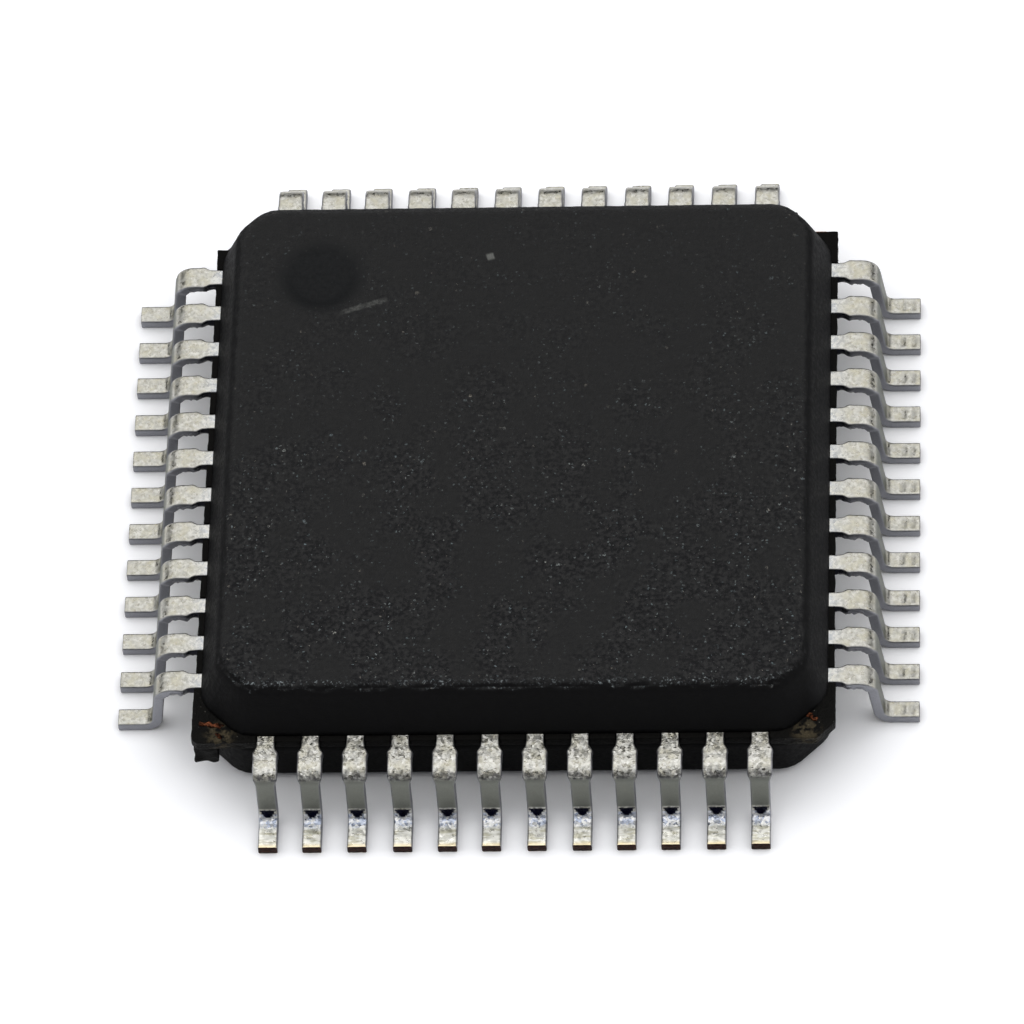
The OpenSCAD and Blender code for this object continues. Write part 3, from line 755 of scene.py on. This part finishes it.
def formed_lead(blank, index):
    """Bends one lead, spreads its finger, and lays the plating's lumps on it."""
    side, n = divmod(index, ROW)
    place = n - (ROW - 1) / 2
    chance = random.Random(100 + index)
    drift = chance.uniform(-0.008, 0.008)
    dents = [S_FOOT + 0.1 + chance.uniform(-0.02, 0.02), S_FOOT + 0.21 + chance.uniform(-0.01, 0.01)]
    spin = Matrix.Rotation(math.radians(90 * (side - 1)), 3, "Z")
    bm = bmesh.new()
    bm.from_mesh(blank)
    wear_and_reflection = bm.verts.layers.float_vector.new("wear_and_reflection")
    painted_shade_and_dark_dents = bm.verts.layers.float.new("painted_shade_and_dark_dents")
    along = {}
    for v in bm.verts:
        s, lift = v.co.y, v.co.z
        u = v.co.x / (FOOT_W / 2)
        shift = place * (TIP_PITCH + (PITCH - TIP_PITCH) * min(1, (s - TIP) / (KNEE - TIP)))
        x = u * half_width(s) + shift + drift * ease((s - BODY_HALF) / 1.2)
        v[wear_and_reflection] = wear_and_reflection_at(s, abs(u), side == 1)
        v[painted_shade_and_dark_dents] = painted_shade_at(s, abs(u), lift, side == 1)
        along[v] = s
        if lift < 0 and s < S_RISER:
            ragged = 0.8 + 1.4 * rough(Vector((s, index, side + u)), 0.05)
            rolled = ease((abs(u) - 0.75) / 0.25) * ease((s - LEDGE_HALF) / 0.05)
            lift += 0.04 * ragged * rolled * (1 - ease((s - BEND_AT) / 0.15))
        if side == 2 and lift > 0:
            dent = dent_at(s, abs(u), dents)
            lift -= 0.012 * dent
            # The dents are darkened too, in the attribute that carries the painted shade.
            v[painted_shade_and_dark_dents] = max(v[painted_shade_and_dark_dents], 0.4 * dent)
        y, z = bend(s, lift)
        v.co = spin @ Vector((x, -y, z))
    bmesh.ops.recalc_face_normals(bm, faces=bm.faces)
    bm.normal_update()
    for v in bm.verts:
        if along[v] < BODY_HALF:
            continue
        depth = (0.003 if side == 1 else 0.0015) * (1 - 0.85 * max(v[wear_and_reflection].x, v[wear_and_reflection].y))
        lump = rough(v.co, 0.05) + 0.6 * rough(v.co + Vector((3, 5, 7)), 0.03)
        v.co += v.normal * (depth * lump - 0.0015)
        v.co = Vector((clamp(v.co.x, TOE), clamp(v.co.y, TOE), max(v.co.z, 0)))
    for f in bm.faces:
        middle = sum(along[v] for v in f.verts) / len(f.verts)
        f.material_index = 1 if middle > S_TOE - 0.004 or middle < BODY_HALF - 0.05 else 0
    name = f"lead_{index + 1:02d}"
    return finish_piece(name + "_plated", bm, [TIN, CUT_COPPER], [name])


def torn_bit(name, start, stop, width, height):
    """A scrap of the tie bar that stands out of the resin at a corner."""
    start, stop = Vector((*start, 0)), Vector((*stop, 0))
    length = (stop - start).length
    bm = bmesh.new()
    box(bm, (-length / 2, -width / 2, FRAME_TOP - 0.03), (length / 2, width / 2, FRAME_TOP + height))
    round_edges(bm, bm.edges[:], 0.015, 2)
    slice_up(bm, 0, -length / 2, length / 2, 0.015)
    slice_up(bm, 1, -width / 2, width / 2, 0.015)
    turn = math.atan2(stop.y - start.y, stop.x - start.x)
    bmesh.ops.rotate(bm, verts=bm.verts, matrix=Matrix.Rotation(turn, 3, "Z"))
    bmesh.ops.translate(bm, verts=bm.verts, vec=(start + stop) / 2)
    bm.normal_update()
    for v in bm.verts:
        v.co += v.normal * (0.03 * rough(v.co, 0.05) - 0.004)
    finish_piece(name, bm, [TORN_COPPER])


def tie_bar_ends():
    torn_bit("tie_bar_end_left", (-3.5, -3.32), (-3.22, -3.37), 0.06, 0.02)
    torn_bit("tie_bar_sliver_left", (-3.31, -3.45), (-3.24, -3.55), 0.04, 0.012)
    torn_bit("tie_bar_end_right", (3.27, -3.27), (3.39, -3.35), 0.07, 0.014)


package_top()
package_base()
ledge()
corner_pieces()
gate_stub()
tie_bar_ends()
blank = lead_blank()
for index in range(4 * ROW):
    formed_lead(blank, index)
bpy.data.meshes.remove(blank)


# --- Studio ---

def floor():
    """A plain white floor that keeps the chip's shadow. Some of its white is its own, so that it reads as
    white where nothing shades it; near the chip an ambient occlusion factor dims that part, as painted shade."""
    bm = bmesh.new()
    bmesh.ops.create_grid(bm, x_segments=1, y_segments=1, size=1.5)
    mesh = bpy.data.meshes.new("studio_floor")
    bm.to_mesh(mesh)
    bm.free()
    material = bpy.data.materials.new("white studio floor")
    material.use_nodes = True
    tree = material.node_tree
    tree.nodes.clear()
    rays = add(tree, "LightPath")
    seen = maths(tree, "ADD", rays.outputs["Is Camera Ray"], rays.outputs["Is Glossy Ray"])
    seen = maths(tree, "ADD", seen, rays.outputs["Is Transmission Ray"])
    # Near the chip the glow is dimmed by ambient occlusion: painted contact shade.
    glow_share_after_painted_shade = add(tree, "AmbientOcclusion", {"Distance": 1.1 * MM}, samples=8).outputs["AO"]
    glow_share_after_painted_shade = maths(tree, "POWER", glow_share_after_painted_shade, 1.4)
    glow = add(tree, "Emission", {
        "Color": linear("#f4f6ff"),
        "Strength": maths(tree, "MULTIPLY", maths(tree, "MULTIPLY", seen, glow_share_after_painted_shade), FLOOR_GLOW),
    })
    paper = add(tree, "BsdfDiffuse", {"Color": linear("#f2f2f2")})
    both = add(tree, "AddShader", {0: glow.outputs[0], 1: paper.outputs[0]})
    add(tree, "OutputMaterial", {"Surface": both.outputs[0]})
    mesh.materials.append(material)
    piece = bpy.data.objects.new("studio_floor", mesh)
    bpy.context.scene.collection.objects.link(piece)


def lamp(name, place, width, depth, power, colour="#ffffff", aim=(0, 0, 0.001)):
    """A softbox that faces the chip."""
    light = bpy.data.lights.new(name, "AREA")
    light.shape = "RECTANGLE"
    light.size = width
    light.size_y = depth
    light.energy = power
    light.color = linear(colour)[:3]
    holder = bpy.data.objects.new(name, light)
    bpy.context.scene.collection.objects.link(holder)
    holder.location = place
    holder.rotation_euler = (Vector(aim) - Vector(place)).to_track_quat("-Z", "Y").to_euler()


FLOOR_GLOW = 0.36
floor()
lamp("softbox_overhead", (0, 0.04, 0.2), 0.56, 0.42, 1.02)
lamp("softbox_left", (-0.3, 0, 0.12), 0.16, 0.14, 0.14)
lamp("softbox_right", (0.3, 0, 0.12), 0.16, 0.14, 0.14)

world = bpy.data.worlds.new("dim studio")
bpy.context.scene.world = world
world.use_nodes = True
world.node_tree.nodes["Background"].inputs["Color"].default_value = linear("#cfd3dc")
world.node_tree.nodes["Background"].inputs["Strength"].default_value = 0.08


def camera():
    """Looks down at the chip from in front and a little to its right, through a long lens."""
    turn, height, roll = math.radians(6.32), math.radians(56.13), math.radians(-5.84)
    back = Vector((math.sin(turn) * math.cos(height), -math.cos(turn) * math.cos(height), math.sin(height)))
    right = Vector((0, 0, 1)).cross(back).normalized()
    up = back.cross(right)
    across = math.cos(roll) * right + math.sin(roll) * up
    upward = -math.sin(roll) * right + math.cos(roll) * up
    place = back * 0.108882 - across * 0.000144 + upward * 0.000033
    data = bpy.data.cameras.new("camera")
    data.lens = 336.4
    data.sensor_width = 36
    data.clip_start = 0.001
    data.clip_end = 10
    holder = bpy.data.objects.new("camera", data)
    bpy.context.scene.collection.objects.link(holder)
    turned = Matrix((across, upward, back)).transposed().to_4x4()
    holder.matrix_world = Matrix.Translation(place) @ turned
    bpy.context.scene.camera = holder


camera()
bpy.context.scene.view_settings.view_transform = "Standard"
